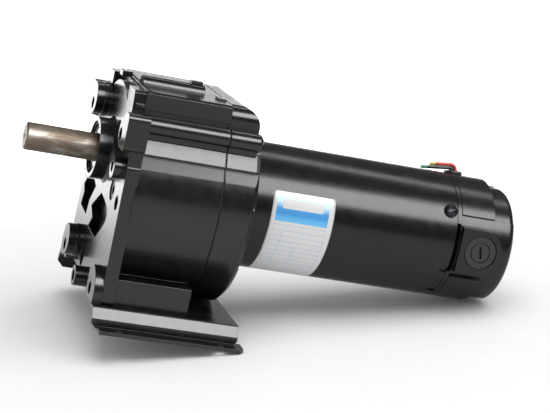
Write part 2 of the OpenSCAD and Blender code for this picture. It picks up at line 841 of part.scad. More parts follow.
module motor_tube() {
    color(black) difference() {
        ring_x(cover_x + eps, seam_x, tube_r, tube_r - tube_t, motor_at);
        for (s = [-1, 1]) on_radius(tube_screw_x, tube_screw_angle, s)
            cylinder(r = 2.1, h = tube_r + 10);
        for (a = notch_angles) on_radius(seam_x, a)
            translate([-notch[0], -notch[1] / 2, tube_r - notch[2]]) cube([notch[0] + 1, notch[1], 10]);
    }
}

module field_magnets() {
    overhang = 4;
    half_arc = 66;
    color([0.18, 0.17, 0.17]) for (side = [0, 1]) mirror([0, side, 0])
        ring_sector(core_x - overhang, core_x + core_len + overhang, magnet_r - eps,
            magnet_r - magnet_t, -half_arc, half_arc);
}

module magnet_clips() {
    clip_from = 69;
    clip_to = 111;
    color(steel) {
        ring_sector(core_x, core_x + core_len, magnet_r - eps, magnet_r - 1.2, clip_from, clip_to);
        ring_sector(core_x, core_x + core_len, magnet_r - eps, magnet_r - 1.2, -clip_to, -clip_from);
    }
}

module armature_shaft() {
    pinion_bore_r = 4;
    color(steel) {
        rod_x(first_gear_x - 1, mb_front_x - 2, pinion_bore_r, motor_at);
        rod_x(mb_front_x - 2, mb_front_x + mb[4], mb[0] - eps, motor_at);
        rod_x(mb_front_x + mb[4], mb_rear_x, core_bore_r, motor_at);
        rod_x(mb_rear_x, mb_rear_x + mb[4] - 1, mb[0] - eps, motor_at);
        gear_x(first_gear_x - 0.5, first_gear_x + first_gear_w + 2,
            z_motor, m_first, first_angle, motor_at);
    }
}

core_slots = 12;
core_bore_r = 8.2;
slot_pitch_r = 23.5;

// Slotted lamination stack
module armature_core() {
    slot_r = 4;
    mouth_w = 2.4;
    color([0.35, 0.35, 0.37]) difference() {
        ring_x(core_x, core_x + core_len, core_r, core_bore_r + eps, motor_at);
        for (i = [0 : core_slots - 1]) {
            a = i * 360 / core_slots;
            rod_x(core_x - 1, core_x + core_len + 1, slot_r,
                motor_at + slot_pitch_r * [cos(a), sin(a)]);
            translate([core_x - 1, 0, motor_z]) rotate([a, 0, 0])
                translate([0, slot_pitch_r, -mouth_w / 2]) cube([core_len + 2, 10, mouth_w]);
        }
    }
}

// Coils: a conductor bundle in each slot and a turned end winding on both sides
module armature_windings() {
    bundle_r = 3.7;
    head_r = 27.5;
    neck_r = 13.5;
    bore_r = 10.5;
    core_end = core_x + core_len;
    color([0.62, 0.30, 0.14]) {
        for (i = [0 : core_slots - 1]) {
            a = i * 360 / core_slots;
            rod_x(core_x - 3, core_end + 3, bundle_r, motor_at + slot_pitch_r * [cos(a), sin(a)]);
        }
        ring_x(core_x - 12, core_x - 0.5, head_r, bore_r, motor_at);
        ring_x(core_end + 0.5, core_end + 14, head_r, bore_r, motor_at);
        ring_x(core_end + 14, comm_x - 4, neck_r, bore_r, motor_at);
    }
}

module commutator() {
    bars = 24;
    riser = 2.2;
    slit_w = 0.7;
    color([0.72, 0.42, 0.22]) difference() {
        union() {
            ring_x(comm_x, comm_x + comm_len, comm_r, core_bore_r + eps, motor_at);
            ring_x(comm_x - 3.5, comm_x, comm_r + riser, core_bore_r + eps, motor_at);
        }
        for (i = [0 : bars - 1]) translate([comm_x - 5, 0, motor_z]) rotate([i * 360 / bars, 0, 0])
            translate([0, comm_r - 1, -slit_w / 2]) cube([comm_len + 6, 5, slit_w]);
    }
}

module front_motor_bearing_outer() {
    color([0.6, 0.6, 0.62]) outer_race(mb, mb_front_x, motor_at);
}

module rear_motor_bearing_outer() {
    color([0.6, 0.6, 0.62]) outer_race(mb, mb_rear_x, motor_at);
}

module front_motor_bearing_inner() {
    color([0.65, 0.65, 0.67]) inner_race(mb, mb_front_x, motor_at);
}

module rear_motor_bearing_inner() {
    color([0.65, 0.65, 0.67]) inner_race(mb, mb_rear_x, motor_at);
}

module motor_bearing_balls() {
    color([0.75, 0.75, 0.77]) for (x = [mb_front_x, mb_rear_x]) ball_set(mb, x, motor_at, 8);
}

module wave_washer() {
    x0 = mb_rear_x + mb[4] + 0.1;
    color(steel) ring_x(x0, x0 + 0.7, 16.5, 12.5, motor_at);
}

// ---- end bell ----

bell_core_r = 39.8;         // lowest skin of the end bell
bell_side_r = 43.4;         // skin round the brush bosses
bell_fillet = 5;            // rounded rear edge
bell_rim_x = seam_x + 3.3;  // end of the rim beside the tube
bell_bore_r = 33;
pad_x = 287;                // rear end of the raised pads
pad_angles = [31.8, -29.1]; // where the upper and lower pads begin, above the side
boss_half = 16.2;           // half width of the brush bosses
boss_in = 30;               // depth from which the brush bosses rise
moat = [1.1, 2.2];          // width and depth of the channel round a brush boss
groove_depth = 0.5;         // thin grooves at the seam

// Flat boss outline round a brush cap, in (X, Z) about the brush axis
module boss_outline(grow) {
    circle(r = boss_half + grow);
    translate([bell_rim_x - brush_x, -boss_half - grow])
        square([brush_x - bell_rim_x, 2 * (boss_half + grow)]);
}

// The outline above as a solid between two distances from the motor axis, on side s
module boss_solid(s, near, far, grow) {
    translate([brush_x, s * far, motor_z]) rotate([90, 0, 0])
        translate([0, 0, s > 0 ? 0 : near - far]) linear_extrude(far - near) boss_outline(grow);
}

// Raised pads above and below, ending in front of the rounded rear edge
module bell_pads() {
    ring_sector(seam_x + eps, pad_x, tube_r, bell_core_r - 4, pad_angles[0], 180 - pad_angles[0]);
    ring_sector(seam_x + eps, pad_x, tube_r, bell_core_r - 4, pad_angles[1] - 121.8, pad_angles[1]);
}

module bell_outside() {
    x0 = seam_x + eps;
    turned_end(bell_core_r, x0 + 0.5, bell_x, bell_fillet, motor_at);
    intersection() {
        turned_end(bell_side_r, x0, bell_x - 1.5, bell_fillet, motor_at);
        for (side = [0, 1]) mirror([0, side, 0])
            ring_sector(x0, bell_x, tube_r + 10, 0.1, -62, pad_angles[0]);
    }
    ring_x(x0, bell_rim_x, tube_r, boss_in, motor_at);
    bell_pads();
    rod_x(seam_x - 10, seam_x + 1, spigot_r, motor_at);
}

// Slots that part the lower pads from the side skin
module pad_slots() {
    slot_angle = -27.6;
    slot_w = 1.5;
    for (s = [-1, 1]) on_radius(seam_x + 3.4, slot_angle, s)
        translate([0, -slot_w / 2, 40.5]) cube([pad_x - seam_x - 6, slot_w, 10]);
}

module end_bell() {
    gap_high = motor_z + boss_half + moat[0];
    gap_low = motor_z - boss_half - moat[0];
    color(black) difference() {
        union() {
            difference() {
                bell_outside();
                for (s = [-1, 1]) boss_solid(s, brush_top - moat[1], brush_top + 10, moat[0]);
                for (side = [0, 1]) mirror([0, side, 0])
                    block([seam_x - 0.5, boss_in + 6, gap_low],
                        [bell_rim_x + 0.2, tube_r + 20, gap_high]);
            }
            for (s = [-1, 1]) boss_solid(s, boss_in, brush_top, 0);
        }
        // bore, bearing seat and brush holder seats
        rod_x(seam_x - 11, mb_rear_x - 4, bell_bore_r, motor_at);
        rod_x(mb_rear_x - 5, mb_rear_x + mb[4] + 1, mb[2], motor_at);
        for (s = [-1, 1]) on_radius(brush_x, 0, s) cylinder(r = holder_r, h = tube_r + 20);
        pad_slots();
        // thin grooves at the seam and behind the rim
        for (x = [seam_x, bell_rim_x])
            ring_x(x, x + groove_depth, tube_r + 5, tube_r - groove_depth, motor_at);
        // seats and holes of the through bolts, holes of the tube screws and the leads
        for (s = [-1, 1]) {
            rod_x(seam_x - 12, bell_x + 1, 2.6, bolt_at(s));
            rod_x(bolt_seat_x, bell_x + 9, 5.6, bolt_at(s) + [0, s]);
            on_radius(tube_screw_x, tube_screw_angle, s) cylinder(r = 1.9, h = tube_r + 10);
        }
        on_radius(grommet_x, grommet_angle) cylinder(r = grommet_r + 0.1, h = tube_r + 10);
    }
}

bolt_seat_x = bell_x - 9;

module through_bolts() {
    head_r = 4.4;
    slot_w = 1.2;
    color([0.1, 0.1, 0.1]) for (s = [-1, 1]) {
        at = bolt_at(s);
        rod_x(cover_x - 4, bolt_seat_x + 1, bolt_r, at);
        difference() {
            rod_x(bolt_seat_x + eps, bolt_seat_x + 3.8, head_r, at);
            block([bolt_seat_x + 2.6, at[0] - 5, at[1] - slot_w / 2],
                [bolt_seat_x + 5, at[0] + 5, at[1] + slot_w / 2]);
        }
    }
}

// Pan-head cross-recess screws through the tube into the end bell spigot
module tube_screws() {
    head_r = 5;
    head_h = 3;
    dome_r = 6.6;
    dome_drop = 3.4;
    shank_l = 9;
    color([0.3, 0.3, 0.3]) for (s = [-1, 1]) on_radius(tube_screw_x, tube_screw_angle, s) {
        translate([0, 0, tube_r - shank_l + 1]) cylinder(r = bolt_r, h = shank_l);
        difference() {
            intersection() {
                translate([0, 0, tube_r + 0.1]) cylinder(r = head_r, h = head_h);
                translate([0, 0, tube_r - dome_drop]) sphere(r = dome_r);
            }
            for (a = [20, 110]) rotate([0, 0, a]) translate([0, 0, tube_r + head_h])
                cube([6, 1.2, 2.6], center = true);
        }
    }
}

// ---- brush gear ----

holder_r = 12.2;
cap_r = 7.4;
ring_gap = 0.6;             // visible gap round the holder and round the cap
ring_depth = 2.2;           // depth of that gap

// Insulating tube with a rectangular brush guide, one on each side
module brush_holders() {
    inner_r = 9;
    collar_l = 8.6;
    color([0.05, 0.05, 0.05]) for (s = [-1, 1]) on_radius(brush_x, 0, s) difference() {
        union() {
            translate([0, 0, comm_r + 1.5]) cylinder(r = inner_r, h = brush_top - comm_r - 2);
            translate([0, 0, brush_top - 9]) cylinder(r = holder_r - ring_gap, h = collar_l);
            translate([0, 0, brush_top - 9]) cylinder(r = holder_r - eps, h = collar_l - ring_depth);
        }
        translate([0, 0, 40])
            cube([brush_w + 2 * brush_slot, brush_h + 2 * brush_slot, 70], center = true);
        translate([0, 0, brush_top - 6]) cylinder(r = cap_r, h = 10);
    }
}

module brush(s) {
    color([0.15, 0.15, 0.16]) on_radius(brush_x, 0, s) difference() {
        translate([-brush_w / 2, -brush_h / 2, comm_r - 1]) cube([brush_w, brush_h, brush_len + 1]);
        rotate([0, 90, 0]) cylinder(r = comm_r + 0.05, h = 2 * brush_w, center = true);
    }
}

// Coil spring behind a brush, drawn as a stack of rings joined by short posts
module brush_spring(s) {
    turns = 4;
    coil_r = 2.7;
    wire_r = 0.3;
    z0 = comm_r + brush_len + 0.1 + wire_r;
    z1 = brush_top - 6.2 - wire_r;
    pitch = (z1 - z0) / turns;
    color(steel) on_radius(brush_x, 0, s) {
        for (i = [0 : turns]) translate([0, 0, z0 + i * pitch])
            rotate_extrude() translate([coil_r, 0]) circle(r = wire_r);
        for (i = [0 : turns - 1]) rotate([0, 0, i * 180]) translate([coil_r, 0, z0 + i * pitch])
            cylinder(r = wire_r - 0.02, h = pitch);
    }
}

module near_brush() { brush(1); }
module far_brush() { brush(-1); }
module near_brush_spring() { brush_spring(1); }
module far_brush_spring() { brush_spring(-1); }

// Slotted caps, recessed rims
module brush_caps() {
    slot = [1.7, 9.6, 4];
    slot_turn = 11;
    color([0.07, 0.07, 0.07]) for (s = [-1, 1]) on_radius(brush_x, 0, s) difference() {
        union() {
            translate([0, 0, brush_top - 6 + eps]) cylinder(r = cap_r - ring_gap, h = 5.4);
            translate([0, 0, brush_top - 6 + eps]) cylinder(r = cap_r - 0.1, h = 5.4 - ring_depth);
        }
        rotate([0, 0, s * slot_turn])
            translate([-slot[0] / 2, -slot[1] / 2, brush_top - 2.6]) cube(slot);
    }
}

// ---- nameplate and supply leads ----

label_x0 = 121;
label_x1 = 166;

module nameplate() {
    color([0.85, 0.85, 0.86])
        ring_sector(label_x0, label_x1, tube_r + 0.25, tube_r + 0.02, -72, 26);
}

grommet_x = 268;
grommet_angle = 106;        // from the near side, over the top
grommet_r = 5.2;
lead_r = 1.15;
lead_pitch_r = 1.9;         // the four leads stand on this radius in the grommet
lead_start_r = 38.8;        // inner end of the leads and the grommet, clear of the through bolts
lead_droop = 6;             // slope of the leads' free ends towards the tube

module at_grommet() {
    on_radius(grommet_x, grommet_angle) children();
}

// Rubber grommet with one hole for each lead
module lead_grommet() {
    color([0.03, 0.03, 0.03]) at_grommet() difference() {
        union() {
            translate([0, 0, lead_start_r]) cylinder(r = grommet_r, h = tube_r - lead_start_r + 1);
            translate([0, 0, tube_r + 0.2]) cylinder(r = 6.6, h = 1.8);
        }
        for (i = [0 : 3]) rotate([0, 0, 45 + 90 * i]) translate([lead_pitch_r, 0, 0])
            cylinder(r = lead_r + 0.03, h = 80);
    }
}

// A lead: up through the grommet, over in a bend, then along the tube towards the gearcase
module lead(i, bend_r, run) {
    a = 45 + 90 * i;
    rise = tube_r + 2.6;
    at_grommet() translate([lead_pitch_r * cos(a), lead_pitch_r * sin(a), 0]) {
        translate([0, 0, lead_start_r]) cylinder(r = lead_r, h = rise - lead_start_r);
        translate([-bend_r, 0, rise]) {
            rotate([90, 0, 0]) rotate_extrude(angle = 90 + lead_droop)
                translate([bend_r, 0]) circle(r = lead_r);
            rotate([0, -90 - lead_droop, 0]) translate([bend_r, 0, 0]) cylinder(r = lead_r, h = run);
        }
    }
}

lead_low_bend = 1.6;
lead_high_bend = 4.2;

module green_lead() { color([0.10, 0.55, 0.40]) lead(1, lead_low_bend, 22); }
module yellow_lead() { color([0.80, 0.75, 0.20]) lead(0, lead_high_bend, 15); }
module red_lead() { color([0.85, 0.20, 0.18]) lead(3, lead_high_bend, 11); }
module black_lead() { color([0.04, 0.04, 0.04]) lead(2, lead_low_bend, 17); }

gear_housing();
rear_cover();
housing_gasket();
housing_screws();
shaft_end_plugs();
output_shaft();
output_gear();
output_gear_key();
front_bearing_outer();
front_bearing_inner();
front_bearing_balls();
retaining_ring();
output_rear_bush();
second_shaft();
second_gear();
first_shaft();
first_gear();
idler_bushes();
foot_plate();
foot_screws();
motor_tube();
field_magnets();
magnet_clips();
armature_shaft();
armature_core();
armature_windings();
commutator();
front_motor_bearing_outer();
rear_motor_bearing_outer();
front_motor_bearing_inner();
rear_motor_bearing_inner();
motor_bearing_balls();
wave_washer();
end_bell();
brush_holders();
near_brush();
far_brush();
near_brush_spring();
far_brush_spring();
brush_caps();
through_bolts();
tube_screws();
nameplate();
lead_grommet();
green_lead();
yellow_lead();
red_lead();
black_lead();
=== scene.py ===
"""Looks of a parallel-shaft gearmotor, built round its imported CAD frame.

Everything is in metres in the frame of the CAD: the output shaft points along -X, the motor along
+X, and +Z is up. Finishes are procedural, and their sizes are given in millimetres.
"""

import math

import bmesh
import bpy
from mathutils import Matrix, Vector


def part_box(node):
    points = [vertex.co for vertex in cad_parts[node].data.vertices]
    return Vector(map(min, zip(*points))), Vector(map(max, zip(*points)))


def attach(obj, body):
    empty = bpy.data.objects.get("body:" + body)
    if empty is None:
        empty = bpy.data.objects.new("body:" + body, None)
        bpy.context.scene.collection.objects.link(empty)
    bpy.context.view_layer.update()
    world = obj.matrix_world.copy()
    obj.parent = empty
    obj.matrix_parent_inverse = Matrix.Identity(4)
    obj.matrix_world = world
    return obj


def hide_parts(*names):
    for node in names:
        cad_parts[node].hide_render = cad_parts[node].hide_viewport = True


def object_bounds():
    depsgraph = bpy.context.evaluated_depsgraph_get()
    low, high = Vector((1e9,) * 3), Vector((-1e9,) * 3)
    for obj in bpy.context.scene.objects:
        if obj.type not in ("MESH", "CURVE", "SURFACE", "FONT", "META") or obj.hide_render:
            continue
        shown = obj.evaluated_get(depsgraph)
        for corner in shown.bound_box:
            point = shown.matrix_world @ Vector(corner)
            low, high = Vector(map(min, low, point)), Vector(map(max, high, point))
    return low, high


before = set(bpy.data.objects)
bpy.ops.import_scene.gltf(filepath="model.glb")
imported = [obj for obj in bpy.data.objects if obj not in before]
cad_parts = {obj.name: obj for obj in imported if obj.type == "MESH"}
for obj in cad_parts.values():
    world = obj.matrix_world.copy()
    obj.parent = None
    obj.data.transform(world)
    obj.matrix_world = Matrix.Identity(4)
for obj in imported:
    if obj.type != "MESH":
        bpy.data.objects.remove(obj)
CAD_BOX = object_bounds()
MM = 0.001

# ---- places read from the frame ----

TUBE_LOW, TUBE_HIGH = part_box("motor_tube")
TUBE_R = (TUBE_HIGH.y - TUBE_LOW.y) / 2
MOTOR_Z = (TUBE_HIGH.z + TUBE_LOW.z) / 2
LABEL_LOW, LABEL_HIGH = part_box("nameplate")
FOOT_LOW, FOOT_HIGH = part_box("foot_plate")
BELL_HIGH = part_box("end_bell")[1]
PAD_TO_REAR = 17 * MM  # about how far before its rear face the end bell rests on the floor


# ---- node graphs ----


class Graph:
    """A material's node tree, with short calls for the nodes used here."""

    def __init__(self, name):
        self.material = bpy.data.materials.new(name)
        self.material.use_nodes = True
        self.tree = self.material.node_tree
        self.shader = self.tree.nodes["Principled BSDF"]
        self.in_mm = self.scaled(self.node("ShaderNodeTexCoord").outputs["Object"], (1 / MM,) * 3)

    def node(self, kind, **settings):
        made = self.tree.nodes.new(kind)
        for name, value in settings.items():
            setattr(made, name, value)
        return made

    def feed(self, socket, value):
        if isinstance(value, bpy.types.NodeSocket):
            self.tree.links.new(value, socket)
        else:
            socket.default_value = value

    def set(self, **inputs):
        """Sets inputs of the shader; a name's underscores stand for spaces."""
        for name, value in inputs.items():
            self.feed(self.shader.inputs[name.replace("_", " ")], value)

    def scaled(self, vector, factors):
        made = self.node("ShaderNodeVectorMath", operation="MULTIPLY")
        self.feed(made.inputs[0], vector)
        self.feed(made.inputs[1], factors)
        return made.outputs[0]

    def noise(self, size, detail=3.0, stretch=(1, 1, 1), distortion=0.0):
        """Noise whose features are about size millimetres, drawn out by stretch."""
        made = self.node("ShaderNodeTexNoise")
        self.feed(made.inputs["Vector"], self.scaled(self.in_mm, [1 / (size * s) for s in stretch]))
        self.feed(made.inputs["Scale"], 1.0)
        self.feed(made.inputs["Detail"], detail)
        self.feed(made.inputs["Distortion"], distortion)
        return made.outputs["Fac"]

    def specks(self, size, share):
        """1 inside scattered round specks that fill about the given share, 0 elsewhere."""
        made = self.node("ShaderNodeTexVoronoi")
        self.feed(made.inputs["Vector"], self.in_mm)
        self.feed(made.inputs["Scale"], 1 / size)
        return self.span(made.outputs["Distance"], share, share * 0.6)

    def span(self, value, low, high, to_low=0.0, to_high=1.0):
        made = self.node("ShaderNodeMapRange")
        made.interpolation_type = "SMOOTHSTEP"
        self.feed(made.inputs["Value"], value)
        self.feed(made.inputs["From Min"], low)
        self.feed(made.inputs["From Max"], high)
        self.feed(made.inputs["To Min"], to_low)
        self.feed(made.inputs["To Max"], to_high)
        return made.outputs["Result"]

    def sum(self, operation, a, b=0.0):
        made = self.node("ShaderNodeMath", operation=operation)
        self.feed(made.inputs[0], a)
        self.feed(made.inputs[1], b)
        return made.outputs[0]

    def mix(self, share, a, b):
        made = self.node("ShaderNodeMix", data_type="RGBA")
        self.feed(made.inputs["Factor"], share)
        for socket, colour in ((made.inputs[6], a), (made.inputs[7], b)):
            self.feed(socket, colour if isinstance(colour, bpy.types.NodeSocket) else (*colour, 1))
        return made.outputs[2]

    def bump(self, height, depth, normal=None):
        """A bump of the given depth in millimetres, laid over another normal."""
        made = self.node("ShaderNodeBump")
        self.feed(made.inputs["Height"], height)
        self.feed(made.inputs["Distance"], depth * MM)
        if normal is not None:
            self.feed(made.inputs["Normal"], normal)
        return made.outputs["Normal"]

    def soft_edges(self, radius):
        """Normals of edges rounded to the given radius in millimetres."""
        made = self.node("ShaderNodeBevel", samples=6)
        self.feed(made.inputs["Radius"], radius * MM)
        return made.outputs["Normal"]

    def edge_mask(self, rounded):
        """1 near edges, where the rounded normal leaves the surface's own."""
        dot = self.node("ShaderNodeVectorMath", operation="DOT_PRODUCT")
        self.feed(dot.inputs[0], rounded)
        self.feed(dot.inputs[1], self.node("ShaderNodeNewGeometry").outputs["Normal"])
        return self.span(dot.outputs["Value"], 0.985, 0.80)

    def upward(self):
        """1 on faces that look up, where dust settles."""
        split = self.node("ShaderNodeSeparateXYZ")
        self.feed(split.inputs[0], self.node("ShaderNodeNewGeometry").outputs["Normal"])
        return self.span(split.outputs["Z"], 0.6, 1.0)


# ---- finishes ----


def paint(name, colour, gloss, waves, grain, edge=0.5, shine=0.5, dust=0.01):
    """Sprayed black enamel on metal: uneven film, fine grain, worn edges and a little dust."""
    g = Graph(name)
    rounded = g.soft_edges(edge)
    worn = g.sum("MULTIPLY", g.edge_mask(rounded), g.span(g.noise(5.0), 0.5, 0.72))
    shade = g.mix(g.noise(14.0, 5), [c * 0.65 for c in colour], [c * 1.5 for c in colour])
    dusty = g.sum("MULTIPLY", g.upward(), g.span(g.noise(9.0, 6), 0.35, 0.8, 0, dust * 4))
    shade = g.mix(dusty, shade, (0.25, 0.24, 0.22))
    shade = g.mix(g.sum("MULTIPLY", worn, 0.55), shade, (0.09, 0.09, 0.095))
    rough = g.span(g.noise(6.0, 5), 0.3, 0.7, gloss - 0.02, gloss + 0.03)
    rough = g.sum("ADD", rough, g.sum("MULTIPLY", dusty, 0.5))
    film = g.bump(g.noise(7.0, 2), waves, rounded)
    film = g.bump(g.noise(1.3, 2), grain, film)
    film = g.bump(g.noise(0.35, 2), grain, film)
    g.set(Base_Color=shade, Roughness=rough, Normal=film, Specular_IOR_Level=shine)
    return g.material


def metal(name, colour, gloss, stretch=(1, 1, 1), scratch=0.004, stain=None, stain_share=0.3, edge=0.3):
    """Bare metal with tool marks drawn out by stretch, and stains if a colour is given."""
    g = Graph(name)
    rounded = g.soft_edges(edge)
    marks = g.noise(0.5, 4, stretch)
    shade = g.mix(g.noise(6.0, 5), [c * 0.8 for c in colour], [min(1, c * 1.15) for c in colour])
    shade = g.mix(g.span(marks, 0.35, 0.7, 0.0, 0.35), shade, [c * 0.6 for c in colour])
    rough = g.span(marks, 0.3, 0.7, gloss - 0.07, gloss + 0.1)
    if stain:
        blots = g.span(g.noise(5.0, 6, (3, 1, 1)), 0.62 - stain_share, 0.9 - stain_share)
        shade = g.mix(g.sum("MULTIPLY", blots, 0.75), shade, stain)
        rough = g.sum("ADD", rough, g.sum("MULTIPLY", blots, 0.18))
    g.set(Base_Color=shade, Roughness=rough, Metallic=1.0)
    g.set(Normal=g.bump(marks, scratch, g.bump(g.noise(3.0, 3), scratch, rounded)))
    return g.material


def moulded(name, colour, gloss, grain=0.01, sheen=0.0, edge=0.2):
    """Moulded plastic, rubber or wire insulation."""
    g = Graph(name)
    shade = g.mix(g.noise(3.0, 5), [c * 0.8 for c in colour], [min(1, c * 1.2) for c in colour])
    flecks = g.span(g.specks(1.1, 0.12), 0, 1, 0, 0.25)
    shade = g.mix(flecks, shade, [min(1, c * 0.6 + 0.04) for c in colour])
    rough = g.span(g.noise(1.5, 4), 0.3, 0.7, gloss - 0.06, gloss + 0.08)
    normal = g.bump(g.noise(0.3, 3), grain, g.soft_edges(edge))
    g.set(Base_Color=shade, Roughness=rough, Normal=normal, Sheen_Weight=sheen)
    return g.material


def wound_wire(name):
    """Enamelled copper wire, seen as fine strands along the coils."""
    g = Graph(name)
    wave = g.node("ShaderNodeTexWave", wave_type="BANDS", bands_direction="Y")
    g.feed(wave.inputs["Vector"], g.in_mm)
    g.feed(wave.inputs["Scale"], 0.45)
    g.feed(wave.inputs["Distortion"], 2.5)
    g.feed(wave.inputs["Detail"], 2.0)
    shade = g.mix(wave.outputs["Fac"], (0.25, 0.07, 0.02), (0.72, 0.28, 0.10))
    shade = g.mix(g.span(g.noise(4.0, 5), 0.4, 0.7, 0, 0.4), shade, (0.30, 0.12, 0.04))
    g.set(Base_Color=shade, Metallic=0.6, Roughness=g.span(wave.outputs["Fac"], 0, 1, 0.45, 0.28))
    g.set(Normal=g.bump(wave.outputs["Fac"], 0.15), Coat_Weight=0.5)
    return g.material


def laminated(name):
    """A stack of thin steel sheets, seen edge-on as fine rings along X."""
    g = Graph(name)
    wave = g.node("ShaderNodeTexWave", wave_type="BANDS", bands_direction="X")
    g.feed(wave.inputs["Vector"], g.in_mm)
    g.feed(wave.inputs["Scale"], 0.6)
    g.feed(wave.inputs["Distortion"], 0.3)
    shade = g.mix(wave.outputs["Fac"], (0.10, 0.10, 0.11), (0.34, 0.33, 0.32))
    shade = g.mix(g.span(g.noise(5.0, 6), 0.45, 0.8, 0, 0.5), shade, (0.12, 0.08, 0.06))
    g.set(Base_Color=shade, Metallic=0.9, Roughness=g.span(g.noise(2.0), 0.3, 0.7, 0.35, 0.55))
    g.set(Normal=g.bump(wave.outputs["Fac"], 0.08, g.soft_edges(0.2)))
    return g.material


# Layout of the printed label in millimetres: across from its front edge, down from its top edge
HEADER = (2.9, 41.1, 2.5, 20.6)
PANEL = (7.3, 37.0, 5.1, 11.6)
PANEL_CORNER = 1.3
TABLE_TOP = 22.9
ROW = 4.05
ROWS = 11
TABLE_SIDES = (2.9, 41.1)
FIRST_COLUMN = 10.2
SECOND_COLUMN = (21.7, 4, 10)
INK = (0.10, 0.32, 0.62)


def label_print(name):
    """White foil with a blue graded header, an empty rounded panel and a ruled table."""
    g = Graph(name)
    split = g.node("ShaderNodeSeparateXYZ")
    g.feed(split.inputs[0], g.node("ShaderNodeUVMap", uv_map="print_mm").outputs["UV"])
    u, v = split.outputs["X"], split.outputs["Y"]

    def box_mask(box, corner=0.0, blur=0.12):
        """1 inside the rounded box, from its signed distance."""
        u0, u1, v0, v1 = box
        over = []
        for value, low, high in ((u, u0, u1), (v, v0, v1)):
            off = g.sum("ABSOLUTE", g.sum("SUBTRACT", value, (low + high) / 2))
            over.append(g.sum("SUBTRACT", off, (high - low) / 2 - corner))
        outside = [g.sum("MAXIMUM", o, 0.0) for o in over]
        reach = g.sum("SQRT", g.sum("ADD", *[g.sum("MULTIPLY", o, o) for o in outside]))
        inside = g.sum("MINIMUM", g.sum("MAXIMUM", *over), 0.0)
        distance = g.sum("SUBTRACT", g.sum("ADD", reach, inside), corner)
        return g.span(distance, blur, -blur)

    def line_mask(value, at, half=0.13):
        off = g.sum("ABSOLUTE", g.sum("SUBTRACT", value, at))
        return g.span(off, half + 0.1, half - 0.1)

    def join(*masks):
        total = masks[0]
        for mask in masks[1:]:
            total = g.sum("MAXIMUM", total, mask)
        return total

    white = g.mix(g.noise(8.0, 4), (0.66, 0.66, 0.66), (0.72, 0.72, 0.71))
    header = g.node("ShaderNodeValToRGB")
    ramp = header.color_ramp
    ramp.elements[0].position, ramp.elements[0].color = 0.0, (0.62, 0.86, 0.96, 1)
    ramp.elements[1].position, ramp.elements[1].color = 1.0, (0.12, 0.50, 0.86, 1)
    middle_stops = (
        (0.12, (0.60, 0.88, 0.97, 1)),
        (0.5, (0.05, 0.33, 0.72, 1)),
        (0.8, (0.04, 0.30, 0.70, 1)),
    )
    for place, colour in middle_stops:
        stop = ramp.elements.new(place)
        stop.color = colour
    g.feed(header.inputs["Fac"], g.span(v, HEADER[2], HEADER[3]))
    shade = g.mix(box_mask(HEADER, 0.4), white, header.outputs["Color"])
    shade = g.mix(box_mask(PANEL, PANEL_CORNER), shade, white)

    # ruled table: each rule is a line within the table's box
    table_low = TABLE_TOP + ROWS * ROW
    steps = g.sum("DIVIDE", g.sum("SUBTRACT", v, TABLE_TOP), ROW)
    near = g.sum("ABSOLUTE", g.sum("SUBTRACT", steps, g.sum("ROUND", steps)))
    rules = g.span(near, 0.055, 0.02)
    table_box = box_mask((TABLE_SIDES[0] - 0.1, TABLE_SIDES[1] + 0.1, TABLE_TOP - 0.2, table_low + 0.2))
    body_box = box_mask((TABLE_SIDES[0], TABLE_SIDES[1], TABLE_TOP + ROW, table_low))
    second, row_from, row_to = SECOND_COLUMN
    split_box = box_mask((second - 1, second + 1, TABLE_TOP + row_from * ROW, TABLE_TOP + row_to * ROW))
    lines = join(
        g.sum("MULTIPLY", rules, table_box),
        g.sum("MULTIPLY", join(line_mask(u, TABLE_SIDES[0]), line_mask(u, TABLE_SIDES[1])), table_box),
        g.sum("MULTIPLY", line_mask(u, FIRST_COLUMN), body_box),
        g.sum("MULTIPLY", line_mask(u, second), split_box),
    )
    shade = g.mix(g.sum("MULTIPLY", lines, 0.62), shade, INK)
    foil = g.noise(1.2, 3)
    g.set(Base_Color=shade, Roughness=g.span(foil, 0.3, 0.7, 0.30, 0.42), Coat_Weight=0.25)
    g.set(Normal=g.bump(foil, 0.004, g.bump(g.noise(12.0, 2), 0.05)), Specular_IOR_Level=0.5)
    return g.material


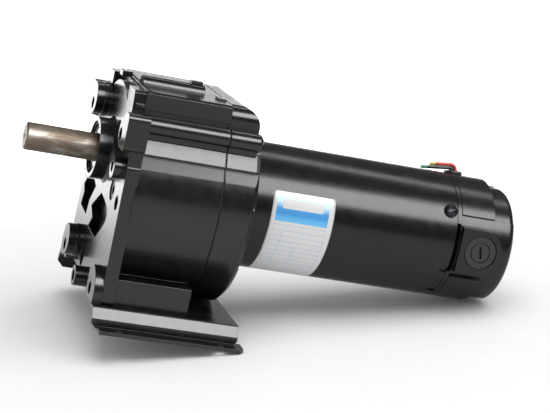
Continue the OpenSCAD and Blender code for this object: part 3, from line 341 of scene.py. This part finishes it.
ENAMEL = (0.006, 0.006, 0.0065)
FINISHES = {
    "case_enamel": paint("case_enamel", ENAMEL, 0.20, 0.003, 0.0022, 0.7, 0.45),
    "foot_enamel": paint("foot_enamel", ENAMEL, 0.22, 0.002, 0.002, 0.3),
    "tube_enamel": paint("tube_enamel", ENAMEL, 0.21, 0.001, 0.006, 0.3, 0.3),
    "bell_enamel": paint("bell_enamel", ENAMEL, 0.23, 0.001, 0.006, 0.4, 0.32),
    "gasket_paper": moulded("gasket_paper", (0.012, 0.012, 0.012), 0.75, 0.03),
    "black_oxide": metal("black_oxide", (0.035, 0.035, 0.04), 0.36, (1, 1, 1), 0.003),
    "shaft_steel": metal(
        "shaft_steel", (0.30, 0.28, 0.25), 0.40, (12, 1, 1), 0.002, (0.13, 0.09, 0.06), 0.35
    ),
    "gear_steel": metal("gear_steel", (0.42, 0.41, 0.40), 0.30, (1, 1, 6), 0.003),
    "bearing_steel": metal("bearing_steel", (0.62, 0.62, 0.63), 0.16, (1, 1, 1), 0.001),
    "gear_composite": moulded("gear_composite", (0.34, 0.22, 0.10), 0.5, 0.02),
    "bronze": metal("bronze", (0.55, 0.36, 0.16), 0.32, (1, 1, 1), 0.004),
    "magnet_ceramic": moulded("magnet_ceramic", (0.035, 0.033, 0.032), 0.6, 0.03),
    "zinc_steel": metal("zinc_steel", (0.60, 0.60, 0.62), 0.28, (1, 4, 1), 0.002),
    "laminations": laminated("laminations"),
    "magnet_wire": wound_wire("magnet_wire"),
    "commutator_copper": metal("commutator_copper", (0.70, 0.34, 0.18), 0.24, (1, 8, 8), 0.002),
    "holder_plastic": moulded("holder_plastic", (0.010, 0.010, 0.010), 0.42, 0.012),
    "cap_plastic": moulded("cap_plastic", (0.012, 0.012, 0.012), 0.38, 0.010),
    "brush_carbon": moulded("brush_carbon", (0.03, 0.03, 0.032), 0.5, 0.02),
    "grommet_rubber": moulded("grommet_rubber", (0.012, 0.012, 0.012), 0.6, 0.02, 0.2),
    "green_sleeve": moulded("green_sleeve", (0.01, 0.22, 0.13), 0.34, 0.004),
    "yellow_sleeve": moulded("yellow_sleeve", (0.62, 0.50, 0.03), 0.34, 0.004),
    "red_sleeve": moulded("red_sleeve", (0.72, 0.04, 0.03), 0.34, 0.004),
    "black_sleeve": moulded("black_sleeve", (0.012, 0.012, 0.012), 0.36, 0.004),
}

WEARS = {
    "case_enamel": ["gear_housing", "rear_cover"],
    "gasket_paper": ["housing_gasket"],
    "black_oxide": [
        "housing_screws", "shaft_end_plugs", "retaining_ring", "foot_screws", "through_bolts",
        "tube_screws",
    ],
    "shaft_steel": ["output_shaft", "second_shaft", "first_shaft", "armature_shaft", "output_gear_key"],
    "gear_steel": ["output_gear", "second_gear"],
    "gear_composite": ["first_gear"],
    "bronze": ["output_rear_bush", "idler_bushes"],
    "bearing_steel": [
        "front_bearing_outer", "front_bearing_inner", "front_bearing_balls",
        "front_motor_bearing_outer", "rear_motor_bearing_outer", "front_motor_bearing_inner",
        "rear_motor_bearing_inner", "motor_bearing_balls",
    ],
    "foot_enamel": ["foot_plate"],
    "tube_enamel": ["motor_tube"],
    "magnet_ceramic": ["field_magnets"],
    "zinc_steel": ["magnet_clips", "wave_washer", "near_brush_spring", "far_brush_spring"],
    "laminations": ["armature_core"],
    "magnet_wire": ["armature_windings"],
    "commutator_copper": ["commutator"],
    "bell_enamel": ["end_bell"],
    "holder_plastic": ["brush_holders"],
    "cap_plastic": ["brush_caps"],
    "brush_carbon": ["near_brush", "far_brush"],
    "grommet_rubber": ["lead_grommet"],
    "green_sleeve": ["green_lead"],
    "yellow_sleeve": ["yellow_lead"],
    "red_sleeve": ["red_lead"],
    "black_sleeve": ["black_lead"],
}


def dress(node, material):
    """Gives a CAD node its finish."""
    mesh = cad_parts[node].data
    mesh.materials.clear()
    mesh.materials.append(material)


for finish, nodes in WEARS.items():
    for node in nodes:
        dress(node, FINISHES[finish])


# ---- label ----


def label():
    """The label as a thin sheet wrapped on the tube, with rounded corners and print coordinates."""
    corner = 2.6 * MM
    thick = 0.12 * MM
    lift = 0.06 * MM
    top = math.asin((LABEL_HIGH.z - MOTOR_Z) / TUBE_R)
    bottom = math.asin((LABEL_LOW.z - MOTOR_Z) / TUBE_R)
    tall = (top - bottom) * TUBE_R
    half = (LABEL_HIGH.x - LABEL_LOW.x) / 2
    middle = (LABEL_HIGH.x + LABEL_LOW.x) / 2
    across, corner_rows, plain_rows = 24, 8, 60
    downs = [corner * (1 - math.cos(math.pi / 2 * i / corner_rows)) for i in range(corner_rows)]
    downs += [corner + (tall - 2 * corner) * i / plain_rows for i in range(plain_rows + 1)]
    downs += [tall - d for d in reversed(downs[:corner_rows])]
    bm = bmesh.new()
    layer = bm.loops.layers.uv.new("print_mm")
    rows, places = [], {}
    for down in downs:
        into = max(0.0, corner - min(down, tall - down))
        reach = half - corner + math.sqrt(max(0.0, corner**2 - into**2))
        angle = top - down / TUBE_R
        radius = TUBE_R + lift
        row = []
        for i in range(across + 1):
            x = middle + reach * (2 * i / across - 1)
            vert = bm.verts.new((x, -radius * math.cos(angle), MOTOR_Z + radius * math.sin(angle)))
            places[vert] = ((x - middle + half) / MM, down / MM)
            row.append(vert)
        rows.append(row)
    for upper, lower in zip(rows, rows[1:]):
        for i in range(across):
            face = bm.faces.new((upper[i], upper[i + 1], lower[i + 1], lower[i]))
            for loop in face.loops:
                loop[layer].uv = places[loop.vert]
            face.smooth = True
    bm.normal_update()
    mesh = bpy.data.meshes.new("label")
    bm.to_mesh(mesh)
    bm.free()
    made = bpy.data.objects.new("label", mesh)
    bpy.context.scene.collection.objects.link(made)
    made.data.materials.append(label_print("label_print"))
    sheet = made.modifiers.new("thickness", "SOLIDIFY")
    sheet.thickness = thick
    sheet.offset = 1.0
    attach(made, "case")
    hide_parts("nameplate")


label()

# ---- stage, lights and camera ----


def floor():
    """Pale floor under the foot's rear edge and the tail, as the machine rests when set down."""
    foot_point = Vector((FOOT_HIGH.x, 0, FOOT_LOW.z))
    tail_point = Vector((BELL_HIGH.x - PAD_TO_REAR, 0, MOTOR_Z - TUBE_R))
    slope = math.atan2(tail_point.z - foot_point.z, tail_point.x - foot_point.x)
    radius = 1.5
    bm = bmesh.new()
    bmesh.ops.create_circle(bm, cap_ends=True, radius=radius, segments=96)
    mesh = bpy.data.meshes.new("floor")
    bm.to_mesh(mesh)
    bm.free()
    made = bpy.data.objects.new("floor", mesh)
    bpy.context.scene.collection.objects.link(made)
    made.location = foot_point - Vector((-math.sin(slope), 0, math.cos(slope))) * 0.2 * MM
    made.rotation_euler = (0, -slope, 0)
    g = Graph("floor_paper")
    shade = g.mix(g.noise(40.0, 4), (0.84, 0.84, 0.86), (0.88, 0.88, 0.89))
    g.set(Base_Color=shade, Roughness=g.span(g.noise(3.0), 0.3, 0.7, 0.55, 0.65))
    g.set(Normal=g.bump(g.noise(0.8), 0.01))
    # fades out towards its rim, and lets views from below through
    far = g.node("ShaderNodeVectorMath", operation="LENGTH")
    g.feed(far.inputs[0], g.node("ShaderNodeTexCoord").outputs["Object"])
    fade = g.span(far.outputs["Value"], 0.25, 0.9, 1, 0)
    front = g.sum("SUBTRACT", 1.0, g.node("ShaderNodeNewGeometry").outputs["Backfacing"])
    g.set(Alpha=g.sum("MULTIPLY", fade, front))
    made.data.materials.append(g.material)


def studio():
    """White sweep behind, darker room above and in front of it, and a white ground all round."""
    world = bpy.data.worlds.new("studio")
    bpy.context.scene.world = world
    world.use_nodes = True
    tree = world.node_tree
    back = tree.nodes["Background"]

    def node(kind, **settings):
        made = tree.nodes.new(kind)
        for name, value in settings.items():
            setattr(made, name, value)
        return made

    def ranged(value, low, high, to_low, to_high):
        made = node("ShaderNodeMapRange", interpolation_type="SMOOTHSTEP")
        tree.links.new(value, made.inputs["Value"])
        ends = {"From Min": low, "From Max": high, "To Min": to_low, "To Max": to_high}
        for key, number in ends.items():
            made.inputs[key].default_value = number
        return made.outputs["Result"]

    def joined(operation, a, b):
        made = node("ShaderNodeMath", operation=operation)
        for socket, value in zip(made.inputs, (a, b)):
            if isinstance(value, bpy.types.NodeSocket):
                tree.links.new(value, socket)
            else:
                socket.default_value = value
        return made.outputs[0]

    split = node("ShaderNodeSeparateXYZ")
    tree.links.new(node("ShaderNodeTexCoord").outputs["Generated"], split.inputs[0])
    low_down = ranged(split.outputs["Z"], 0.05, 0.22, 1, 0)
    behind = ranged(split.outputs["Y"], 0.0, 0.5, 0, 1)
    sweep = joined("MULTIPLY", low_down, behind)
    ground = ranged(split.outputs["Z"], -0.05, 0.02, 0.9, 0.0)
    rays = node("ShaderNodeLightPath").outputs
    haze = joined("ADD", joined("MULTIPLY", rays["Is Diffuse Ray"], 0.45), 0.14)
    light = joined("ADD", joined("MULTIPLY", sweep, 2.2), joined("ADD", ground, haze))
    camera_ray = rays["Is Camera Ray"]
    shown = joined("MAXIMUM", light, joined("MULTIPLY", camera_ray, 1.05))
    seen = node("ShaderNodeMix", data_type="FLOAT")
    tree.links.new(camera_ray, seen.inputs["Factor"])
    tree.links.new(light, seen.inputs[2])
    tree.links.new(shown, seen.inputs[3])
    tree.links.new(seen.outputs[0], back.inputs["Strength"])
    back.inputs["Color"].default_value = (1.0, 1.0, 1.0, 1)


def softbox(name, azimuth, elevation, distance, size, radiance, mirrored=True):
    """A rectangular light aimed at the machine; azimuth 0 is on its near side.

    A mirrored one is only seen in glossy surfaces, any other only lights matt ones.
    """
    a, e = math.radians(azimuth), math.radians(elevation)
    back = Vector((math.sin(a) * math.cos(e), -math.cos(a) * math.cos(e), math.sin(e)))
    data = bpy.data.lights.new(name, "AREA")
    data.shape = "RECTANGLE"
    data.size, data.size_y = size
    data.energy = radiance * math.pi * size[0] * size[1]
    made = bpy.data.objects.new(name, data)
    bpy.context.scene.collection.objects.link(made)
    made.location = CENTRE + back * distance
    made.rotation_mode = "QUATERNION"
    made.rotation_quaternion = (-back).to_track_quat("-Z", "Y")
    made.visible_glossy = mirrored
    made.visible_diffuse = not mirrored


def camera():
    """The photographer's view: from the front left, a little above, rolled with the resting machine."""
    azimuth, elevation, roll = math.radians(-17.39), math.radians(10.33), math.radians(12.40)
    data = bpy.data.cameras.new("camera")
    data.sensor_width = 36.0
    data.lens = 114.5
    made = bpy.data.objects.new("camera", data)
    bpy.context.scene.collection.objects.link(made)
    back = Vector((
        math.sin(azimuth) * math.cos(elevation),
        -math.cos(azimuth) * math.cos(elevation),
        math.sin(elevation),
    ))
    made.location = (-0.2276, -1.1623, 0.2011)
    made.rotation_mode = "QUATERNION"
    tilt = Matrix.Rotation(roll, 3, "Z").to_quaternion()
    made.rotation_quaternion = back.to_track_quat("Z", "Y") @ tilt
    bpy.context.scene.camera = made


CENTRE = (CAD_BOX[0] + CAD_BOX[1]) / 2
floor()
studio()
softbox("key", 18, 45, 1.5, (1.5, 0.8), 13.0)
softbox("top_back", 140, 62, 1.6, (1.4, 0.2), 5.0)
softbox("fill", 0, 80, 2.2, (2.6, 2.6), 2.2, mirrored=False)
camera()
bpy.context.scene.view_settings.view_transform = "Standard"
